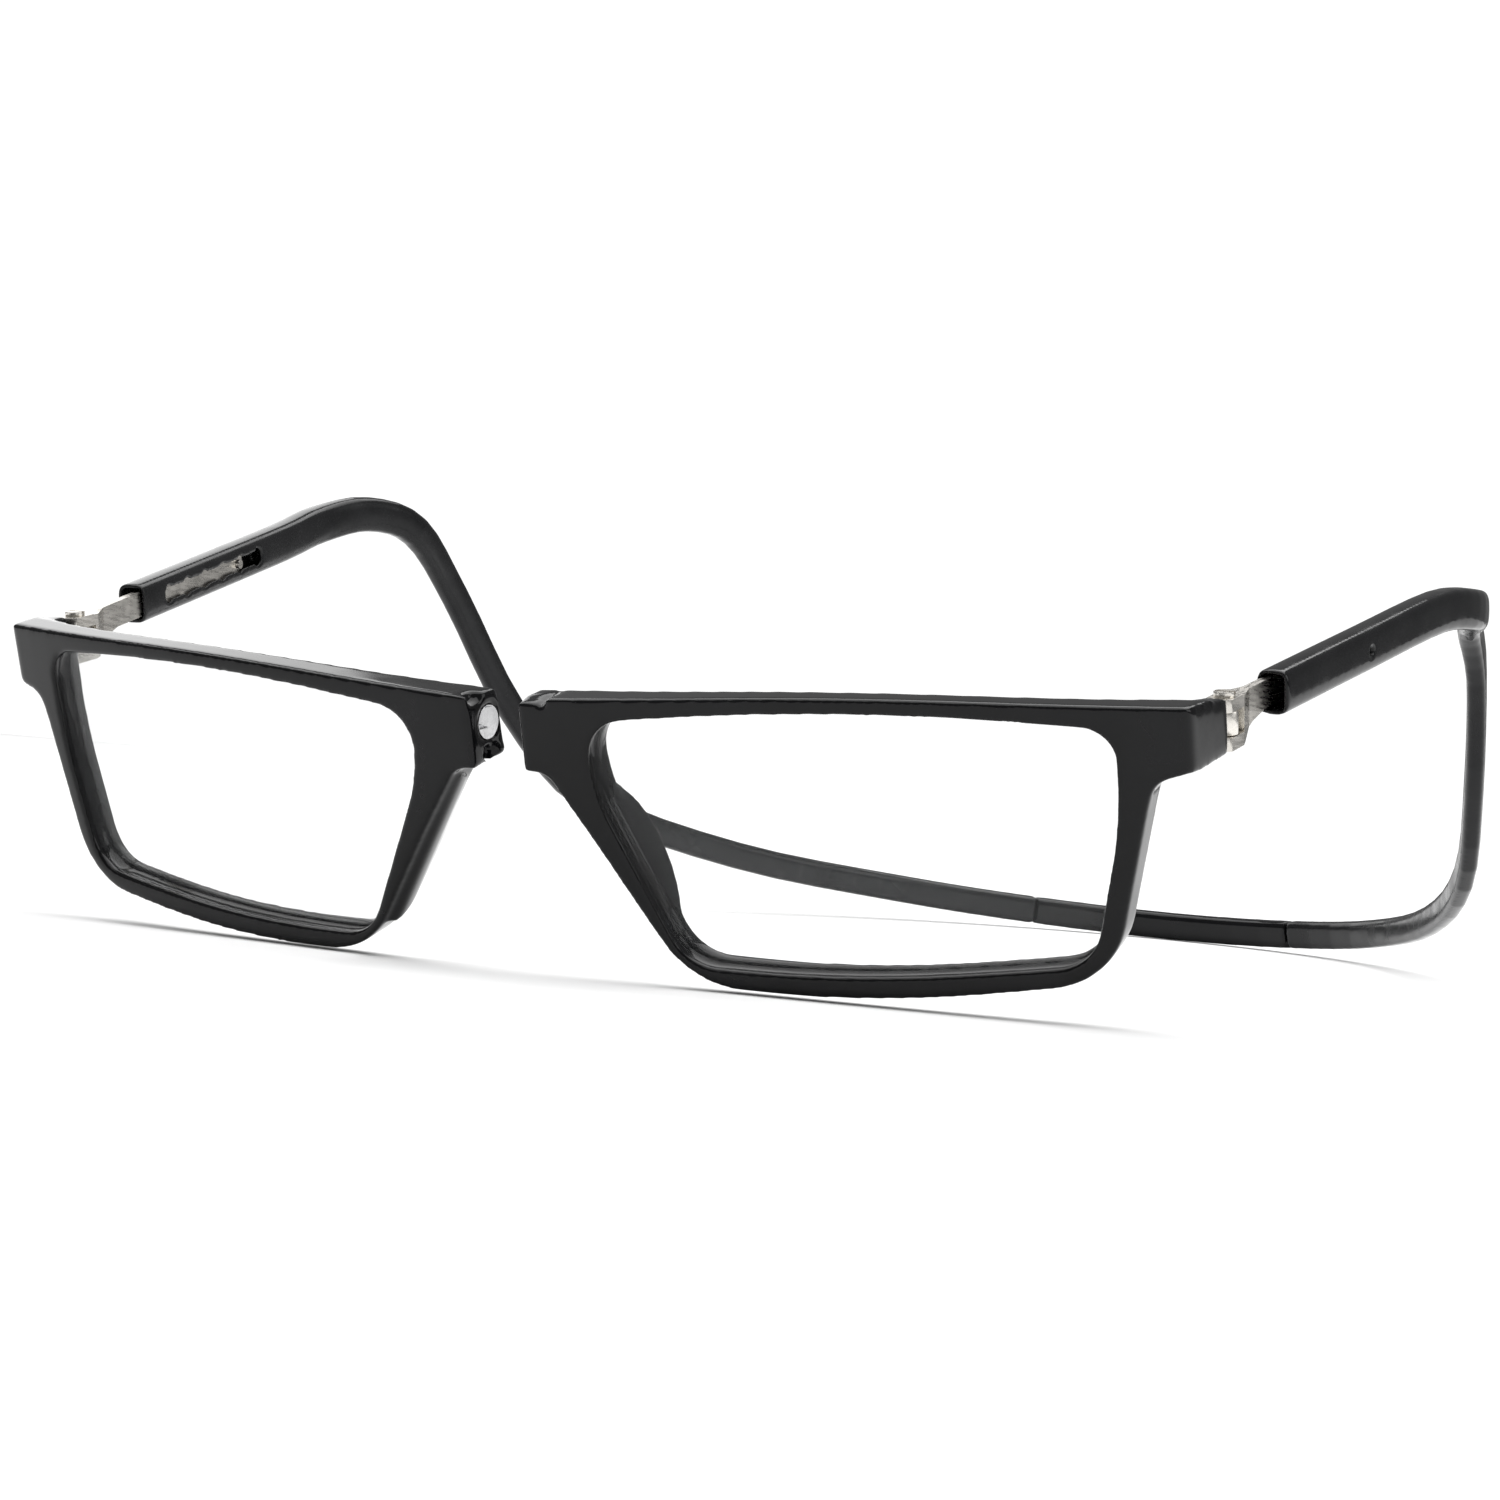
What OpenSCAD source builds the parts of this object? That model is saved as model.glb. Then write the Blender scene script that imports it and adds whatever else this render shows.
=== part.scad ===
// Folding reading glasses: two front halves that meet at a magnetic bridge, each hinged to a metal
// arm that slides in a temple sleeve, and a flexible band that joins the sleeves behind the neck.
// Millimetres. The glasses stand on a table as they would be put down: Z = 0 is the table,
// X runs from the wearer's right to the wearer's left, and Y runs from the front to the back.

/* [Fit] */
// Distance between the two hinge pins
pin_spacing = 132; // [130:0.2:136]
// Forward lean of the top of the front
front_lean = 8.9; // [6:0.1:12]
// Angle between the temples and the table when the glasses stand on it
rest_tilt = 12.43; // [12.2:0.05:12.6]
// Opening angle of the wearer's right half, from square to the temples
right_open = 4.9; // [0:0.1:8]
// Opening angle of the wearer's left half, from square to the temples
left_open = 4.0; // [0:0.1:8]

/* [Front halves] */
// Radius of the front surface, seen from above
front_radius = 178.6; // [150:1:220]
// Radius of the rear surface, seen from above
rear_radius = 128.5; // [120:0.5:135]
// Thickness of the rim from front to back, at its thinnest
rim_depth = 4.0; // [3.4:0.1:4.6]
// Length of a half from its pin to the bridge joint
half_length = 65.2; // [63:0.1:65.6]
// Depth of the groove that holds the lens
groove_depth = 0.5; // [0.3:0.1:0.7]

/* [Lenses and magnets] */
// Thickness of the lens
lens_thick = 1.8; // [1.4:0.1:2.2]
// Distance from the front surface of the rim to the lens
lens_back = 1.0; // [0.8:0.1:1.4]
// Diameter of the bridge magnet
magnet_d = 3.4; // [2.6:0.1:3.6]
// Length of the bridge magnet
magnet_length = 3.0; // [2:0.5:4]

/* [Hinges and arms] */
// Diameter of the hinge barrel and width of the fork
barrel_d = 2.7; // [2.4:0.1:3]
// Diameter of the hinge screw
pin_d = 1.2; // [1:0.1:1.4]
// Running clearance around the hinge screw, on the radius
pin_clearance = 0.04; // [0.02:0.01:0.08]
// Height of the bar that slides in the sleeve
bar_height = 2.2; // [1.8:0.1:2.3]
// Thickness of the bar that slides in the sleeve
bar_thick = 0.9; // [0.7:0.1:1]
// Distance between the click stations of the slide
station_pitch = 4.35; // [3.8:0.05:4.4]

/* [Sleeves and band] */
// Height of the temple sleeve
sleeve_height = 4.5; // [4.2:0.1:5]
// Thickness of the temple sleeve
sleeve_thick = 3.5; // [3.4:0.1:4]
// Height of the band behind the neck
neck_height = 3.8; // [3.2:0.1:4.4]
// Thickness of the band behind the neck
neck_thick = 2.5; // [2.2:0.1:3]
// Height of the band where it drops behind the ear
drop_height = 3.7; // [3:0.1:4]
// Thickness of the band where it drops behind the ear
drop_thick = 2.3; // [2:0.1:2.6]

/* [Hidden] */

// Sides: the wearer's right is at -X and the wearer's left at +X
RIGHT = -1;
LEFT = 1;

// Place of the worn frame in the table frame
row_shift = -75.902;
row_lift = 29.592;

// Front surface and rear surface of a half, as circles seen from above
front_apex = [55.6, -18.96];
front_centre = front_apex + [0, front_radius];
rear_apex = [47.2, front_apex.y + rim_depth + 0.62];
rear_centre = rear_apex + [0, rear_radius];
tall = 60;

// Outline of the lens opening: corner points and their radii
opening_points = [
    [7.1, 3.3], [31, 6.3], [58.5, 3.4], [57.6, -4.2], [49.6, -21.3], [33, -21.9], [10, -20.4], [7.2, -6.5]
];
opening_radii = [3.6, 165, 4.2, 17, 5.2, 200, 4.2, 40];

// Outline of a half seen from the front: corner points and their radii
outline_points = [
    [-3, 5], [33, 8.1], [half_length + 3, 5.2], [half_length + 3, -2.1], [62.8, -2.1], [57.9, -9.5],
    [49.3, -23.2], [32, -24.3], [8.2, -22.2], [4.5, -4.8], [3.8, -2.1], [-3, -0.4]
];
outline_radii = [0.4, 340, 0.2, 0.2, 2.4, 24, 10, 155, 7.5, 6, 2.2, 0.4];

// End piece that reaches back from the rim to the hinge, seen from above and from the side
end_back = -2.2;
front_corner = [0.3, -10.25];
end_plan = [
    [-1.45, end_back], [1.45, end_back], [1.7, -4.6], [8, -8.4], [9, -16], [-1, -16], [-0.4, -9]
];
end_plan_radii = [0.2, 0.5, 3, 4, 0.2, 0.2, 3];
end_side_view = [[-13, 6.2], [end_back + 1, 3.3], [end_back + 1, -2.05], [-8, -1.7], [-13, -0.8]];

// Hinge: the fork's two prongs and the knuckle between them
fork_top = 2.8;
fork_bottom = -2.2;
knuckle_top = 1.55;
knuckle_bottom = -0.9;
knuckle_play = 0.06;
plate_reach = 5.5;
plate_thick = 1.2;
plate_outer = -0.1;
fork_depth = 1.95;

// Sleeve line: its mouth, its splay and the run of the bar inside it
line_start = [67.6, 9.6, 1.6];
splay = 5.7;
rise = 2.3;
sleeve_way = [sin(splay) * cos(rise), cos(splay) * cos(rise), sin(rise)];
slide_offset = -0.7;
stations = 6;
right_station = 5;
left_station = 6;
first_station = 6.1;
right_mouth_reach = 3.9;
right_mouth = line_start + right_mouth_reach * sleeve_way;
function station(k) = first_station + (k - 1) * station_pitch;
function mouth(side) = right_mouth - (side == LEFT ? (left_station - right_station) * station_pitch : 0) * sleeve_way;
button_reach = right_mouth_reach + station(right_station);
cavity_length = 30;
wall_inner = 1.25;
pocket_length = 5.2;
pocket_height = 3.5;
slot_half = 0.62;
notch_r = 0.95;
button_r = 0.52;
vent_r = 0.42;
vent_place = 20.5;

// Line of a temple and the neck band on the +X side, from the mouth to the middle of the neck
mid_line = [
    right_mouth, [69.6, 30, 2.4], [71.6, 50, 3.2], [72.4, 60, 3.9], [70.4, 68.4, 4.1], [67.9, 75.6, 1],
    [66.7, 83, -8.6], [64, 92, -24.8], [59.5, 104, -38.7], [49, 126, -50.1], [35, 148, -58.4],
    [19, 160.5, -63], [0, 165.1, -64.7]
];
// How much lower the left temple runs than the right one, at each point of the line
left_drop = [0, 0, 0.1, 2.1, 4.2, 3.6, 1.2, 0, 0, 0, 0, 0, 0];
function band_line(side) =
    side == RIGHT ? mid_line
    : [for (i = [0:band_last]) i == 0 ? mouth(LEFT) : mid_line[i] - [0, 0, left_drop[i]]];
band_last = len(mid_line) - 1;
band_heights = concat(
    [for (i = [0:3]) sleeve_height],
    [4.3, 4, drop_height, drop_height, drop_height, drop_height, neck_height, neck_height, neck_height]
);
band_thicks = concat(
    [for (i = [0:3]) sleeve_thick],
    [3.1, 2.7, drop_thick, drop_thick, drop_thick, drop_thick, neck_thick, neck_thick, neck_thick]
);
neck_seam = 11;
seam_gap = 0.36;

black = "#17181a";
satin_black = "#2b2c2e";
nickel = "#c9c6bf";
clear = [0.9, 0.95, 0.95, 0.35];

// ---------- outlines ----------

// Unit vector from one point to another
function toward(from, to) = (to - from) / norm(to - from);

// Arc that rounds the corner at b between a and c
function corner_arc(a, b, c, r, steps = 8) =
    let (
        u = toward(b, a),
        v = toward(b, c),
        half = acos(max(-1, min(1, u * v))) / 2,
        reach = r / tan(half),
        centre = b + toward([0, 0], u + v) * (r / sin(half)),
        start = b + u * reach - centre,
        sweep = (180 - 2 * half) * sign(cross(v, u))
    )
    [for (i = [0:steps]) let (t = sweep * i / steps)
        centre + [start.x * cos(t) - start.y * sin(t), start.x * sin(t) + start.y * cos(t)]];

// Closed outline with every corner rounded
function rounded(points, radii, steps = 8) =
    let (n = len(points))
    [for (i = [0:n - 1])
        each corner_arc(points[(i + n - 1) % n], points[i], points[(i + 1) % n], radii[i], steps)];

// Clockwise corner points moved outward by d
function grown(points, d) =
    let (n = len(points))
    [for (i = [0:n - 1])
        let (
            u = toward(points[(i + n - 1) % n], points[i]),
            v = toward(points[i], points[(i + 1) % n]),
            nu = [-u.y, u.x],
            nv = [-v.y, v.x]
        )
        points[i] + (nu + nv) * d / (1 + nu * nv)];

module opening_outline(grow = 0) {
    polygon(rounded(grown(opening_points, grow), [for (r = opening_radii) r + grow]));
}

// ---------- placing ----------

// Worn frame to table frame
module on_table() {
    translate([0, row_shift, row_lift]) rotate([rest_tilt, 0, 0]) children();
}

// Frame of a half: origin on its pin, +X toward the bridge, +Y toward the ear, not yet leaning
module half_frame(side) {
    open_angle = side == RIGHT ? right_open : left_open;
    on_table()
        mirror([side == LEFT ? 1 : 0, 0, 0])
            translate([-pin_spacing / 2, 0, 0])
                rotate([0, 0, -open_angle])
                    children();
}

// Frame of a half that leans as its front does
module leaning(side) {
    half_frame(side) rotate([front_lean, 0, 0]) children();
}

// Frame of a temple, drawn for the +X side
module temple_frame(side) {
    on_table() mirror([side == RIGHT ? 1 : 0, 0, 0]) children();
}

// Frame of a sleeve: origin at its mouth, +Y along the sleeve
module sleeve_frame(side) {
    translate(mouth(side)) rotate([0, 0, -splay]) rotate([rise, 0, 0]) children();
}

// Extrudes an outline seen from the front through the whole depth of a half
module through_depth(near = -30, far = 5) {
    translate([0, far, 0]) rotate([90, 0, 0]) linear_extrude(far - near) children();
}

// ---------- front half ----------

// Space between two curved surfaces, set back from the front surface
module curved_slab(front_set = 0, thickness = 0) {
    difference() {
        translate([front_centre.x, front_centre.y, -tall / 2])
            cylinder(r = front_radius - front_set, h = tall, $fn = 200);
        if (thickness > 0)
            translate([front_centre.x, front_centre.y, -tall])
                cylinder(r = front_radius - front_set - thickness, h = 2 * tall, $fn = 200);
        else
            translate([rear_centre.x, rear_centre.y, -tall])
                cylinder(r = rear_radius, h = 2 * tall, $fn = 200);
    }
}

// Plan that a half stays inside: its outer side and the rounded corner at the front
module plan_limit() {
    front_slope = (front_centre.x - front_corner.x) / front_radius;
    polygon(rounded(
        [[-1.9, 5], [-1.2, end_back], front_corner, front_corner + 12 * [1, -front_slope], [80, -40], [80, 5]],
        [0.2, 0.2, 1.6, 0.2, 0.2, 0.2]
    ));
}

// End piece behind the curved front
module end_piece() {
    intersection() {
        translate([0, 0, -tall / 2]) linear_extrude(tall) polygon(rounded(end_plan, end_plan_radii));
        translate([-5, 0, 0]) rotate([90, 0, 90]) linear_extrude(20) polygon(end_side_view);
        translate([front_centre.x, front_centre.y, -tall / 2]) cylinder(r = front_radius, h = tall, $fn = 200);
    }
}

// Height of the brow's top, level from front to back when worn
level_top = [[-5, 3.54], [33, 4.38], [70, 2.25], [70, -60], [-5, -60]];
level_top_radii = [0.2, 340, 0.2, 0.2, 0.2];

// Front half before its openings and pockets are cut
module half_blank() {
    intersection() {
        rotate([-front_lean, 0, 0]) through_depth(-60, 20) polygon(rounded(level_top, level_top_radii));
        union() {
            intersection() {
                through_depth() polygon(rounded(outline_points, outline_radii));
                curved_slab();
            }
            end_piece();
        }
        translate([0, 0, -tall / 2]) linear_extrude(tall) plan_limit();
    }
}

// Cutter that leaves the joint face at the bridge
module bridge_cutter() {
    translate([half_length, front_apex.y - 10, -20]) cube([10, 30, 40]);
}

// Keys of the joint face: a notch and a lug on the right, a lowered end and a hollow on the left
key_depth = 1.1;
module bridge_keys_cut(side) {
    on_joint_face() {
        if (side == RIGHT)
            translate([-key_depth, 0.7, 4.3]) cube([key_depth + 1, 2, 4]);
        else {
            translate([-2.2, -1, 5.1]) cube([4, 10, 4]);
            translate([-3, -1, 4.7]) cube([0.8, 10, 4]);
        }
        translate([-key_depth, side == RIGHT ? 2.9 : 4.5, -1.3]) rotate([0, 90, 0])
            cylinder(r = 0.75, h = key_depth + 1, $fn = 32);
    }
}
module bridge_lug(side) {
    on_joint_face()
        translate([-0.6, side == RIGHT ? 4.5 : 2.9, -1.3]) rotate([0, 90, 0])
            cylinder(r = 0.62, h = 1.1, $fn = 32);
}

// Frame of the joint face: origin at its front edge, +X out of the face, +Y to the back
module on_joint_face() {
    translate([half_length, front_apex.y + 0.25, 0]) children();
}

magnet_place = [0, 3.5, 1.75];
magnet_recess = 0.15;
module magnet_hole(extra = 0) {
    on_joint_face() translate(magnet_place + [-magnet_length - magnet_recess, 0, 0]) rotate([0, 90, 0])
        cylinder(d = magnet_d, h = magnet_length + extra, $fn = 48);
}

// Rim of one half, one moulding with its brow, bridge and end piece
module rim(side) {
    color(black) difference() {
        leaning(side) difference() {
            union() {
                difference() {
                    half_blank();
                    bridge_cutter();
                }
                nose_flange();
                bridge_lug(side);
            }
            through_depth() opening_outline();
            lens_space();
            magnet_hole(2);
            bridge_keys_cut(side);
        }
        half_frame(side) {
            translate([-15, end_back, -15]) cube([30, 20, 30]);
            plate_tongue();
        }
    }
}

// Space that the lens fills, groove included
module lens_space() {
    intersection() {
        through_depth() opening_outline(groove_depth);
        curved_slab(lens_back, lens_thick);
    }
}

module lens(side) {
    color(clear) leaning(side) lens_space();
}

// Nose flange behind the nasal side of the rim, drawn along that side: a wedge that thins to the back
flange_middle = [56.9, -11.5];
flange_slant = 31.4;
flange_plan = [[-2.8, -16], [-2.8, -10], [-1.5, -10], [0.4, -15.5], [0.6, -17.4], [-0.6, -18.2]];
flange_plan_radii = [0.1, 0.5, 0.5, 2, 0.8, 0.1];
flange_arc_y = -22;
flange_arc_r = 11;
module nose_flange() {
    translate([flange_middle.x, 0, flange_middle.y]) rotate([0, flange_slant, 0]) intersection() {
        translate([0, 0, -tall / 2]) linear_extrude(tall) polygon(rounded(flange_plan, flange_plan_radii));
        translate([-10, flange_arc_y, 0]) rotate([0, 90, 0]) cylinder(r = flange_arc_r, h = 20, $fn = 96);
    }
}

module magnet(side) {
    color(nickel) leaning(side) magnet_hole();
}

// ---------- hinge ----------

// Tongue of the hinge plate, buried in the end piece
module plate_tongue() {
    translate([plate_outer, -plate_reach, knuckle_bottom + knuckle_play])
        cube([plate_thick, plate_reach, knuckle_top - knuckle_bottom - 2 * knuckle_play]);
}

module screw_hole() {
    translate([0, 0, -10]) cylinder(d = pin_d + 2 * pin_clearance, h = 20, $fn = 48);
}

// Hinge plate: knuckle and tongue in one piece
module hinge_plate(side) {
    color(nickel) half_frame(side) difference() {
        union() {
            translate([0, 0, knuckle_bottom + knuckle_play])
                cylinder(d = barrel_d, h = knuckle_top - knuckle_bottom - 2 * knuckle_play, $fn = 64);
            plate_tongue();
        }
        screw_hole();
    }
}

// Hinge screw with a slotted cheese head on top of the fork
screw_head_d = 2.1;
screw_head_h = 0.5;
module hinge_screw(side) {
    color(nickel) temple_frame(side) translate([pin_spacing / 2, 0, 0]) difference() {
        union() {
            translate([0, 0, fork_bottom]) cylinder(d = pin_d, h = fork_top - fork_bottom, $fn = 48);
            translate([0, 0, fork_top]) cylinder(d = screw_head_d, h = screw_head_h, $fn = 48);
        }
        translate([-2, -0.15, fork_top + screw_head_h / 2]) cube([4, 0.3, 1]);
    }
}

// ---------- sliding arm ----------

// The bar's middle at a distance along the sleeve line: seen from above, and its height
bar_end = button_reach + 1.2;
function bar_x(d) = line_start.x + slide_offset * cos(splay) + d * sin(splay);
function bar_y(d) = line_start.y - slide_offset * sin(splay) + d * cos(splay);
function bar_z(d) = line_start.z + d * tan(rise);

// Side view of the arm: fork block, waist and bar
waist_height = 2.8;
waist_end = 4;
module arm_side() {
    half = bar_height / 2;
    waist = waist_height / 2;
    polygon([
        [0, fork_bottom], [1.9, fork_bottom], [2.6, fork_bottom + 0.2], [bar_y(-4.2), bar_z(-4.2) - waist - 0.6],
        [bar_y(-1.4), bar_z(-1.4) - waist], [bar_y(waist_end), bar_z(waist_end) - waist],
        [bar_y(waist_end), bar_z(waist_end) - half], [bar_y(bar_end), bar_z(bar_end) - half],
        [bar_y(bar_end), bar_z(bar_end) + half], [bar_y(waist_end), bar_z(waist_end) + half],
        [bar_y(waist_end), bar_z(waist_end) + waist], [bar_y(-1.4), bar_z(-1.4) + waist],
        [2.5, fork_top - 0.1], [0, fork_top]
    ]);
}

// Arm seen from above: the fork's width, a jog outward, and the bar
module arm_plan() {
    half = bar_thick / 2;
    fork = barrel_d / 2;
    pin = pin_spacing / 2;
    polygon([
        [pin - fork, 0], [pin - fork, 2.4], [bar_x(-4.5) - half, bar_y(-4.5) + 0.1],
        [bar_x(bar_end) - half, bar_y(bar_end)], [bar_x(bar_end) + half, bar_y(bar_end)],
        [bar_x(-5) + half, bar_y(-5)], [pin + fork, 1.9], [pin + fork, 0]
    ]);
}

// Front of the fork: as wide as the barrel, rounded about the pin
fork_reach = 2;
module fork_nose() {
    translate([pin_spacing / 2, 0, fork_bottom]) intersection() {
        cylinder(r = fork_reach, h = fork_top - fork_bottom, $fn = 64);
        translate([-barrel_d / 2, -fork_reach, 0]) cube([barrel_d, 2 * fork_reach, fork_top - fork_bottom]);
    }
}

// Fork, waist and sliding bar in one piece
module slide_arm(side) {
    gap = knuckle_top - knuckle_bottom;
    color(nickel) temple_frame(side) difference() {
        union() {
            fork_nose();
            intersection() {
                translate([50, 0, 0]) rotate([90, 0, 90]) linear_extrude(40) arm_side();
                translate([0, 0, -10]) linear_extrude(20) arm_plan();
            }
        }
        translate([pin_spacing / 2, 0, 0]) {
            translate([-4, -4, knuckle_bottom]) cube([8, 4 + fork_depth, gap]);
            screw_hole();
        }
        click_stem(side);
    }
}

// Click button, riveted through the end of the bar and out to the slot, which holds it at each station
module click_stem(side) {
    outer = -sleeve_thick / 2 + 0.1;
    inner = slide_offset + bar_thick / 2;
    sleeve_frame(side)
        translate([outer, station(side == RIGHT ? right_station : left_station), 0]) rotate([0, 90, 0])
            cylinder(r = button_r, h = inner - outer, $fn = 32);
}
module click_button(side) {
    color(nickel) temple_frame(side) click_stem(side);
}

// ---------- sleeves and band ----------

// Catmull-Rom value between the second and third of four points
function spline(a, b, c, d, t) =
    0.5 * ((2 * b) + (c - a) * t + (2 * a - 5 * b + 4 * c - d) * t * t + (3 * b - a - 3 * c + d) * t * t * t);

// Value of a list along the band, where whole numbers are the list's own entries
function along(list, s, last) =
    let (
        n = len(list),
        i = min(floor(s), n - 2),
        t = s - i,
        before = i > 0 ? list[i - 1] : 2 * list[0] - list[1],
        after = i + 2 < n ? list[i + 2] : last
    )
    spline(before, list[i], list[i + 1], after, t);
function mirrored_x(p) = [-p.x, p.y, p.z];
function folded(s) = min(s, 2 * band_last - s);
function band_half(s, side) = along(band_line(side), s, mirrored_x(mid_line[band_last - 1]));
function band_point(s, side) = s > band_last ? mirrored_x(band_half(folded(s), side)) : band_half(s, side);
function band_height(s) = along(band_heights, folded(s), band_heights[band_last - 1]);
function band_thick(s) = along(band_thicks, folded(s), band_thicks[band_last - 1]);

// Direction of the band at s
function band_way(s, side) =
    s < 1.5 ? sleeve_way : toward(band_point(s - 0.01, side), band_point(s + 0.01, side));

// Cross-section of the band: an upright oblong with well rounded sides
section_steps = 20;
section_power = 0.55;
function rounded_power(v) = sign(v) * pow(abs(v), section_power);
function section_point(k) =
    let (a = 360 * k / section_steps)
    [rounded_power(cos(a)) / 2, rounded_power(sin(a)) / 2];

// Ring of points around the band at s, shifted by a distance along it
function band_ring(s, side, shift = 0) =
    let (
        way = band_way(s, side),
        outward = toward([0, 0, 0], cross(way, [0, 0, 1])),
        upward = cross(outward, way),
        centre = band_point(s, side) + way * shift
    )
    [for (k = [0:section_steps - 1])
        let (p = section_point(k))
        centre + outward * p.x * band_thick(s) + upward * p.y * band_height(s)];

// Solid through a list of rings
module skin(rings) {
    n = len(rings);
    m = section_steps;
    polyhedron(
        points = [for (ring = rings) each ring],
        faces = concat(
            [[for (k = [0:m - 1]) k]],
            [for (i = [0:n - 2], k = [0:m - 1]) each [
                [i * m + k, (i + 1) * m + k, (i + 1) * m + (k + 1) % m],
                [i * m + k, (i + 1) * m + (k + 1) % m, i * m + (k + 1) % m]
            ]],
            [[for (k = [m - 1:-1:0]) (n - 1) * m + k]]
        )
    );
}

// Band between two places on its line
module band_run(from, to, step, side, start_gap = 0, end_gap = 0) {
    count = ceil((to - from) / step);
    skin([for (i = [0:count])
        band_ring(
            from + (to - from) * i / count,
            side,
            i == 0 ? start_gap : i == count ? -end_gap : 0
        )]);
}

// Slot in the inner wall with a pair of notches at each click station, and a vent in the outer wall
module slide_slot() {
    translate([-sleeve_thick, station(1), -slot_half])
        cube([sleeve_thick, station(stations) - station(1), 2 * slot_half]);
    for (k = [1:stations])
        translate([-sleeve_thick, station(k), 0]) rotate([0, 90, 0]) cylinder(r = notch_r, h = sleeve_thick, $fn = 32);
    translate([0, vent_place, 0]) rotate([0, 90, 0]) cylinder(r = vent_r, h = sleeve_thick, $fn = 24);
}

// Channel for the bar and the wider pocket at the mouth
module sleeve_channel() {
    channel_height = bar_height + 0.4;
    translate([-wall_inner, -1, -channel_height / 2]) cube([wall_inner + 0.55, cavity_length + 1, channel_height]);
    translate([-wall_inner, -1, -pocket_height / 2]) cube([wall_inner + 1.2, pocket_length + 1, pocket_height]);
}

// Temple: sleeve, ear bend, drop and the run to the neck joint in one moulding
module temple(side) {
    color(black) temple_frame(side) difference() {
        band_run(0, neck_seam, 0.25, side, 0, seam_gap / 2);
        sleeve_frame(side) {
            sleeve_channel();
            slide_slot();
        }
    }
}

// Flexible band that joins the temples behind the neck
module neck_band() {
    color(satin_black) on_table()
        band_run(neck_seam, 2 * band_last - neck_seam, 0.25, RIGHT, seam_gap / 2, seam_gap / 2);
}

for (side = [RIGHT, LEFT]) {
    name = side == RIGHT ? "right" : "left";
    rim(side);
    lens(side);
    magnet(side);
    hinge_plate(side);
    hinge_screw(side);
    slide_arm(side);
    click_button(side);
    temple(side);
}
neck_band();
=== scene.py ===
"""Folding reading glasses with a magnetic bridge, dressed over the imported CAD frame. Metres."""

import math

import bmesh
import bpy
from mathutils import Matrix, Vector


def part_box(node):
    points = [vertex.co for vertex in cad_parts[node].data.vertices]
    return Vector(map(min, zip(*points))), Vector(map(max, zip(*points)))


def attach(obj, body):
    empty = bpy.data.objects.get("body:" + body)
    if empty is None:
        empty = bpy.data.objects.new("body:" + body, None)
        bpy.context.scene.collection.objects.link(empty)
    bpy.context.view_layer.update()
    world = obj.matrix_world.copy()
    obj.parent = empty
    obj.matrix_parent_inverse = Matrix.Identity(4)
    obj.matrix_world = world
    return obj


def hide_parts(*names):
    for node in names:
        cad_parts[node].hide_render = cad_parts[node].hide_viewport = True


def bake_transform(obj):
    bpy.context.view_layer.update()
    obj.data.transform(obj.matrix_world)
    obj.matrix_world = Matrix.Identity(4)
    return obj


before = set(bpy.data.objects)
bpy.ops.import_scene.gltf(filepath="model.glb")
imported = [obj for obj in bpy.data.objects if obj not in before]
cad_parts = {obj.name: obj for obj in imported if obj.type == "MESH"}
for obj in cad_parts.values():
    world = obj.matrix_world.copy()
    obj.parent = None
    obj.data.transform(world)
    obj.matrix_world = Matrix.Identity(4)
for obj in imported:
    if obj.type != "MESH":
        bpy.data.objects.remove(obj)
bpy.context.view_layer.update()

MM = 0.001
SIDES = {"right": -1, "left": 1}

# Camera, as angles round the point it aims at
CAMERA_AIM = Vector((0.0157, -0.0746, 0.0236))
CAMERA_DISTANCE = 0.4101
CAMERA_AZIMUTH = math.radians(25.71)
CAMERA_ELEVATION = math.radians(0.5)
CAMERA_ROLL = math.radians(4.37)
CAMERA_LENS = 97.76
CAMERA_NEAREST = 0.01

# How finely the moulded parts are remeshed, and how many passes soften their edges
MOULD_VOXEL = 0.2 * MM
RIM_SOFTENING = 42
TEMPLE_SOFTENING = 20

# Width of the eased edges on the metal parts, and how sharp an edge has to be to get one
METAL_EDGE = 0.1 * MM
METAL_EDGE_ANGLE = math.radians(35)

# The black plastic and its slightly paler flow marks, glossy outside and satin toward the head
GLOSS_BLACK = (0.0035, 0.0036, 0.004)
GLOSS_FLOW = (0.006, 0.0062, 0.007)
TEMPLE_BLACK = (0.005, 0.0052, 0.006)
TEMPLE_FLOW = (0.009, 0.0092, 0.01)
SATIN_BLACK = (0.009, 0.0092, 0.01)
SATIN_FLOW = (0.014, 0.0143, 0.0152)

# Lower than a real plastic's, so that the front stays black over a pale table
PLASTIC_IOR = 1.3
LENS_IOR = 1.5

# How far each band half reaches on to meet its temple, over what length of its end, and which way (left side)
BAND_REACH = {"right": 0.42 * MM, "left": 0.34 * MM}
BAND_END = 0.9 * MM
BAND_END_WAY = Vector((0.887, -0.457, 0.063))

# Stage: floor size, world brightness seen by the camera and by everything else,
# and each light's place, width and power in watts
FLOOR_SIZE = 1.5
BACKDROP = 1.1
SURROUNDINGS = 0.22
LIGHTS = {
    "overhead": ((-0.1, 0.1, 1.1), 1.6, 22),
    "side": ((0.75, 0.1, 0.4), 0.5, 1.6),
    "back": ((-0.7, 0.5, 0.35), 0.5, 1.2),
}


# ---------- materials ----------


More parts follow.
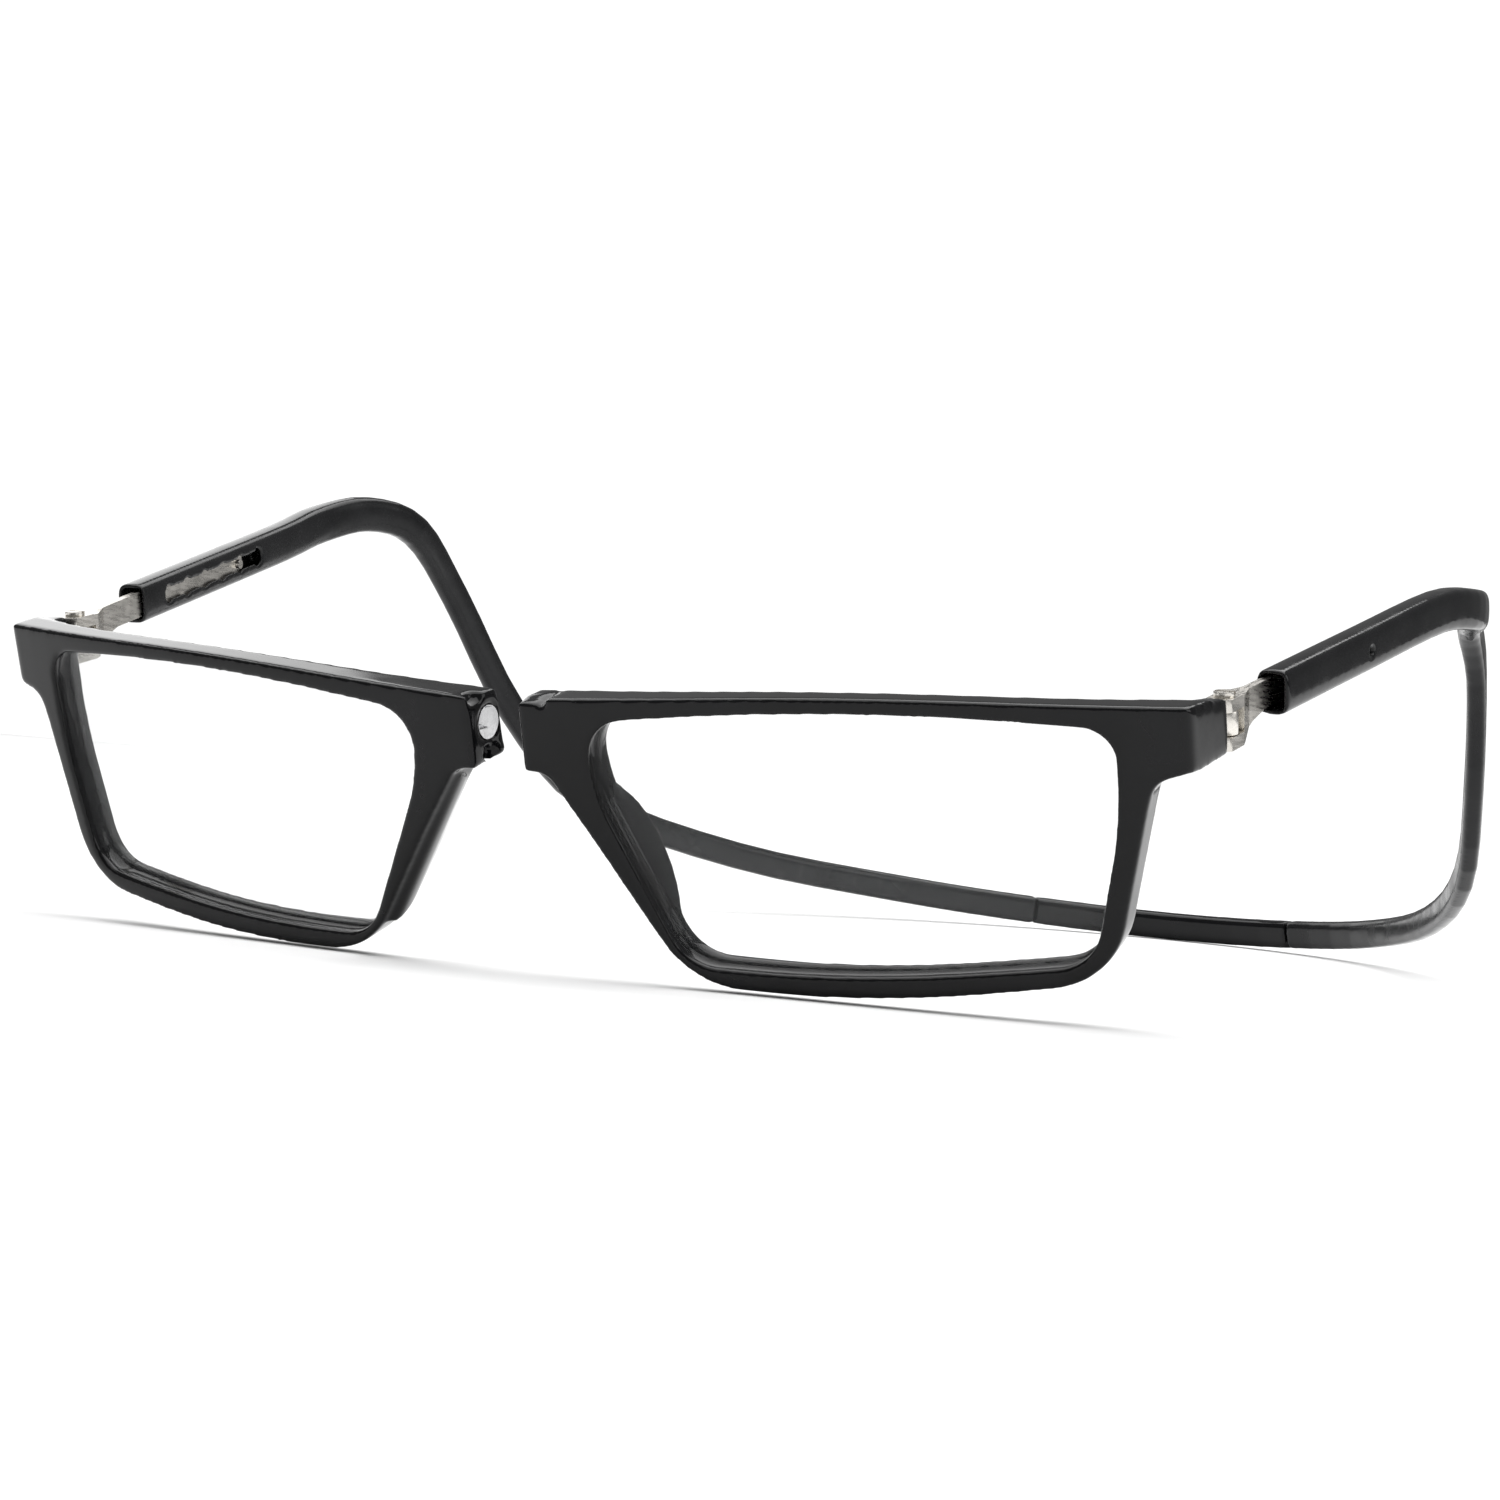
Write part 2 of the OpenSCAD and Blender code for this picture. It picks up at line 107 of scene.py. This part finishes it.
class Finish:
    """A material under construction, with the few kinds of node that the finishes here share."""

    def __init__(self, name):
        self.material = bpy.data.materials.new(name)
        self.material.use_nodes = True
        self.nodes = self.material.node_tree.nodes
        self.links = self.material.node_tree.links
        self.shader = self.nodes["Principled BSDF"]
        self.coordinates = self.nodes.new("ShaderNodeTexCoord")

    def set(self, socket, value):
        """Gives one socket of the shader a number, or the output of another node."""
        if isinstance(value, bpy.types.NodeSocket):
            self.links.new(value, self.shader.inputs[socket])
        else:
            self.shader.inputs[socket].default_value = value

    def noise(self, feature, detail=3, stretch=(1, 1, 1)):
        """Noise with features about that size in metres, drawn out where stretch is below 1."""
        mapping = self.nodes.new("ShaderNodeMapping")
        mapping.inputs["Scale"].default_value = stretch
        texture = self.nodes.new("ShaderNodeTexNoise")
        texture.inputs["Scale"].default_value = 1 / feature
        texture.inputs["Detail"].default_value = detail
        self.links.new(self.coordinates.outputs["Object"], mapping.inputs["Vector"])
        self.links.new(mapping.outputs["Vector"], texture.inputs["Vector"])
        return texture.outputs["Fac"]

    def spread(self, value, low, high, start=0.35, end=0.65):
        """A value between start and end turned into one between low and high."""
        ranged = self.nodes.new("ShaderNodeMapRange")
        ranged.inputs["From Min"].default_value = start
        ranged.inputs["From Max"].default_value = end
        ranged.inputs["To Min"].default_value = low
        ranged.inputs["To Max"].default_value = high
        self.links.new(value, ranged.inputs["Value"])
        return ranged.outputs["Result"]

    def mixed(self, factor, first, second):
        """A colour between two, each a colour or a socket."""
        mix = self.nodes.new("ShaderNodeMix")
        mix.data_type = "RGBA"
        self.links.new(factor, mix.inputs["Factor"])
        for socket, colour in ((mix.inputs[6], first), (mix.inputs[7], second)):
            if isinstance(colour, tuple):
                socket.default_value = (*colour, 1)
            else:
                self.links.new(colour, socket)
        return mix.outputs[2]

    def clouded(self, feature, dark, light):
        """A colour that drifts between two in clouds of that size."""
        return self.mixed(self.spread(self.noise(feature), 0, 1), dark, light)

    def bump(self, height, depth):
        """Fine relief, which shows only in the gloss."""
        relief = self.nodes.new("ShaderNodeBump")
        relief.inputs["Strength"].default_value = 0.4
        relief.inputs["Distance"].default_value = depth
        self.links.new(height, relief.inputs["Height"])
        self.set("Normal", relief.outputs["Normal"])


def worn_edges(finish):
    """0 on flat faces, rising to 0.2 where an edge stands out and has been rubbed."""
    geometry = finish.nodes.new("ShaderNodeNewGeometry")
    return finish.spread(geometry.outputs["Pointiness"], 0, 0.2, 0.56, 0.66)


def glossy_plastic(name):
    """Glossy black moulding: faint flow marks, uneven gloss and edges rubbed a little paler."""
    finish = Finish(name)
    tone = finish.clouded(9 * MM, GLOSS_BLACK, GLOSS_FLOW)
    rubbed_tone = tuple(3 * channel for channel in GLOSS_FLOW)
    finish.set("Base Color", finish.mixed(worn_edges(finish), tone, rubbed_tone))
    finish.set("Roughness", finish.spread(finish.noise(4 * MM, detail=6), 0.07, 0.13))
    finish.bump(finish.noise(1.6 * MM, detail=1), 0.002 * MM)
    finish.set("IOR", PLASTIC_IOR)
    return finish.material


def temple_plastic(name, side):
    """Temple: gloss outside, satin on the face toward the head, with gloss dulled by handling."""
    finish = Finish(name)
    facing = finish.nodes.new("ShaderNodeSeparateXYZ")
    finish.links.new(finish.coordinates.outputs["Normal"], facing.inputs["Vector"])
    inner = finish.spread(facing.outputs["X"], 0, 1, -side * 0.3, -side * 0.8)
    outside = finish.clouded(7 * MM, TEMPLE_BLACK, TEMPLE_FLOW)
    inside = finish.clouded(7 * MM, SATIN_BLACK, SATIN_FLOW)
    finish.set("Base Color", finish.mixed(inner, outside, inside))
    roughness = finish.nodes.new("ShaderNodeMath")
    finish.links.new(finish.spread(inner, 0.12, 0.24, 0, 1), roughness.inputs[0])
    handling = finish.spread(finish.noise(3 * MM, detail=6), -0.04, 0.06)
    finish.links.new(handling, roughness.inputs[1])
    finish.set("Roughness", roughness.outputs["Value"])
    finish.bump(finish.noise(1.2 * MM, detail=2), 0.0008 * MM)
    finish.set("IOR", PLASTIC_IOR)
    return finish.material


def metal(name, dark, light, smooth, rough, stretch):
    """Plated metal with fine finishing lines and slightly uneven tone."""
    finish = Finish(name)
    lines = finish.noise(0.3 * MM, detail=4, stretch=stretch)
    finish.set("Base Color", finish.clouded(2.5 * MM, dark, light))
    finish.set("Roughness", finish.spread(lines, smooth, rough))
    finish.bump(lines, 0.0004 * MM)
    finish.set("Metallic", 1)
    return finish.material


def clear_lens(name):
    """Clear lens: almost unseen face on, with a sheen at grazing angles and faint smudges."""
    finish = Finish(name)
    grazing = finish.nodes.new("ShaderNodeLayerWeight")
    grazing.inputs["Blend"].default_value = 0.3
    finish.set("Alpha", finish.spread(grazing.outputs["Fresnel"], 0.015, 0.16, 0, 1))
    smudges = finish.noise(6 * MM, detail=5)
    finish.set("Roughness", finish.spread(smudges, 0.02, 0.09))
    tint = finish.mixed(finish.spread(smudges, 0, 1), (0.93, 0.96, 0.96), (0.97, 0.98, 0.98))
    finish.set("Base Color", tint)
    finish.set("IOR", LENS_IOR)
    return finish.material


rim_black = glossy_plastic("rim_black")
band_gloss = glossy_plastic("band_gloss")
temple_finish = {name: temple_plastic("temple_" + name, side) for name, side in SIDES.items()}
nickel = metal("satin_nickel", (0.62, 0.6, 0.56), (0.78, 0.75, 0.7), 0.22, 0.36, (1, 0.08, 1))
magnet_plate = metal("magnet_plate", (0.7, 0.7, 0.71), (0.86, 0.86, 0.87), 0.12, 0.24, (1, 1, 1))
lens_glass = clear_lens("lens_clear")


# ---------- pieces ----------


def give(piece, material):
    """Makes a material the only one on a piece."""
    piece.data.materials.clear()
    piece.data.materials.append(material)


def moulding(node, name, softening):
    """A copy of a CAD node, remeshed finely with its edges softened as a mould leaves them."""
    shape = bmesh.new()
    shape.from_mesh(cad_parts[node].data)
    bmesh.ops.remove_doubles(shape, verts=shape.verts, dist=0.001 * MM)
    mesh = bpy.data.meshes.new(name)
    shape.to_mesh(mesh)
    shape.free()
    piece = bpy.data.objects.new(name, mesh)
    bpy.context.scene.collection.objects.link(piece)
    remesh = piece.modifiers.new("remesh", "REMESH")
    remesh.mode = "VOXEL"
    remesh.voxel_size = MOULD_VOXEL
    smooth = piece.modifiers.new("soften", "SMOOTH")
    smooth.factor = 0.5
    smooth.iterations = softening
    bpy.context.view_layer.update()
    evaluated = piece.evaluated_get(bpy.context.evaluated_depsgraph_get())
    finished = bpy.data.meshes.new_from_object(evaluated)
    piece.modifiers.clear()
    piece.data = finished
    finished.polygons.foreach_set("use_smooth", [True] * len(finished.polygons))
    return piece


def metal_edges(node, material):
    """Eases the sharp edges of a small metal CAD node and gives it its finish."""
    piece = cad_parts[node]
    weld = piece.modifiers.new("weld", "WELD")
    weld.merge_threshold = 0.001 * MM
    bevel = piece.modifiers.new("bevel", "BEVEL")
    bevel.width = METAL_EDGE
    bevel.segments = 2
    bevel.limit_method = "ANGLE"
    bevel.angle_limit = METAL_EDGE_ANGLE
    bevel.harden_normals = True
    give(piece, material)


def dress_side(name):
    """Gives one side of the glasses its finished pieces."""
    rim = moulding(name + "_rim", name + "_front_moulding", RIM_SOFTENING)
    give(rim, rim_black)
    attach(rim, name + "_front")
    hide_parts(name + "_rim")

    temple = moulding(name + "_temple", name + "_temple_moulding", TEMPLE_SOFTENING)
    give(temple, temple_finish[name])
    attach(temple, name + "_side")
    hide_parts(name + "_temple")

    for part in ("slide_arm", "hinge_plate", "hinge_screw", "click_button"):
        metal_edges(f"{name}_{part}", nickel)
    metal_edges(name + "_magnet", magnet_plate)
    give(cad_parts[name + "_lens"], lens_glass)


def half_band(name, side):
    """Half of the neck band, which bends from the middle of the neck to its temple."""
    low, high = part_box("neck_band")
    piece = moulding("neck_band", name + "_band_half", TEMPLE_SOFTENING)
    shape = bmesh.new()
    shape.from_mesh(piece.data)
    bmesh.ops.bisect_plane(
        shape,
        geom=shape.verts[:] + shape.edges[:] + shape.faces[:],
        plane_co=(0, 0, 0),
        plane_no=(-side, 0, 0),
        clear_outer=True,
    )
    onward = Vector((side * BAND_END_WAY.x, BAND_END_WAY.y, BAND_END_WAY.z))
    for vertex in shape.verts:
        if side * vertex.co.x > high[0] - BAND_END:
            vertex.co += onward * BAND_REACH[name]
    shape.to_mesh(piece.data)
    shape.free()
    give(piece, band_gloss)
    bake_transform(piece)
    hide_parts("neck_band")


for side_name, side_sign in SIDES.items():
    dress_side(side_name)
    half_band(side_name, side_sign)


# ---------- stage ----------


def pale_floor():
    """Plain pale table that the glasses stand on."""
    bpy.ops.mesh.primitive_plane_add(size=FLOOR_SIZE, location=(0, 0, 0))
    floor = bpy.context.object
    floor.name = "floor"
    finish = Finish("floor_pale")
    tone = finish.mixed(finish.noise(0.4), (0.9, 0.9, 0.9), (0.93, 0.93, 0.93))
    finish.set("Base Color", tone)
    finish.set("Roughness", 0.9)
    finish.set("Specular IOR Level", 0)
    give(floor, finish.material)


def soft_light(name, place, width, power):
    """Square soft light that faces the glasses."""
    data = bpy.data.lights.new(name, "AREA")
    data.size = width
    data.energy = power
    lamp = bpy.data.objects.new(name, data)
    lamp.location = place
    lamp.rotation_euler = (-Vector(place)).to_track_quat("-Z", "Y").to_euler()
    bpy.context.scene.collection.objects.link(lamp)


def studio():
    """White backdrop and dim surroundings, with soft lights that draw the highlights."""
    world = bpy.data.worlds.new("studio")
    world.use_nodes = True
    nodes, links = world.node_tree.nodes, world.node_tree.links
    surroundings = nodes["Background"]
    backdrop = nodes.new("ShaderNodeBackground")
    for background, strength in ((surroundings, SURROUNDINGS), (backdrop, BACKDROP)):
        background.inputs["Color"].default_value = (1, 1, 1, 1)
        background.inputs["Strength"].default_value = strength
    seen = nodes.new("ShaderNodeLightPath")
    choose = nodes.new("ShaderNodeMixShader")
    links.new(seen.outputs["Is Camera Ray"], choose.inputs["Fac"])
    links.new(surroundings.outputs["Background"], choose.inputs[1])
    links.new(backdrop.outputs["Background"], choose.inputs[2])
    links.new(choose.outputs["Shader"], nodes["World Output"].inputs["Surface"])
    bpy.context.scene.world = world
    bpy.context.scene.view_settings.view_transform = "Standard"
    for name, (place, width, power) in LIGHTS.items():
        soft_light(name, place, width, power)


def place_camera():
    """Camera low in front of the glasses, turned toward their left side and rolled a little."""
    away = Vector((math.sin(CAMERA_AZIMUTH), -math.cos(CAMERA_AZIMUTH), 0)) * math.cos(CAMERA_ELEVATION)
    away.z = math.sin(CAMERA_ELEVATION)
    level = Vector((math.cos(CAMERA_AZIMUTH), math.sin(CAMERA_AZIMUTH), 0))
    upright = away.cross(level)
    right = level * math.cos(CAMERA_ROLL) + upright * math.sin(CAMERA_ROLL)
    up = away.cross(right)
    data = bpy.data.cameras.new("camera")
    data.lens = CAMERA_LENS
    data.clip_start = CAMERA_NEAREST
    camera = bpy.data.objects.new("camera", data)
    turn = Matrix((right, up, away)).transposed().to_4x4()
    camera.matrix_world = Matrix.Translation(CAMERA_AIM + away * CAMERA_DISTANCE) @ turn
    bpy.context.scene.collection.objects.link(camera)
    bpy.context.scene.camera = camera


pale_floor()
studio()
place_camera()
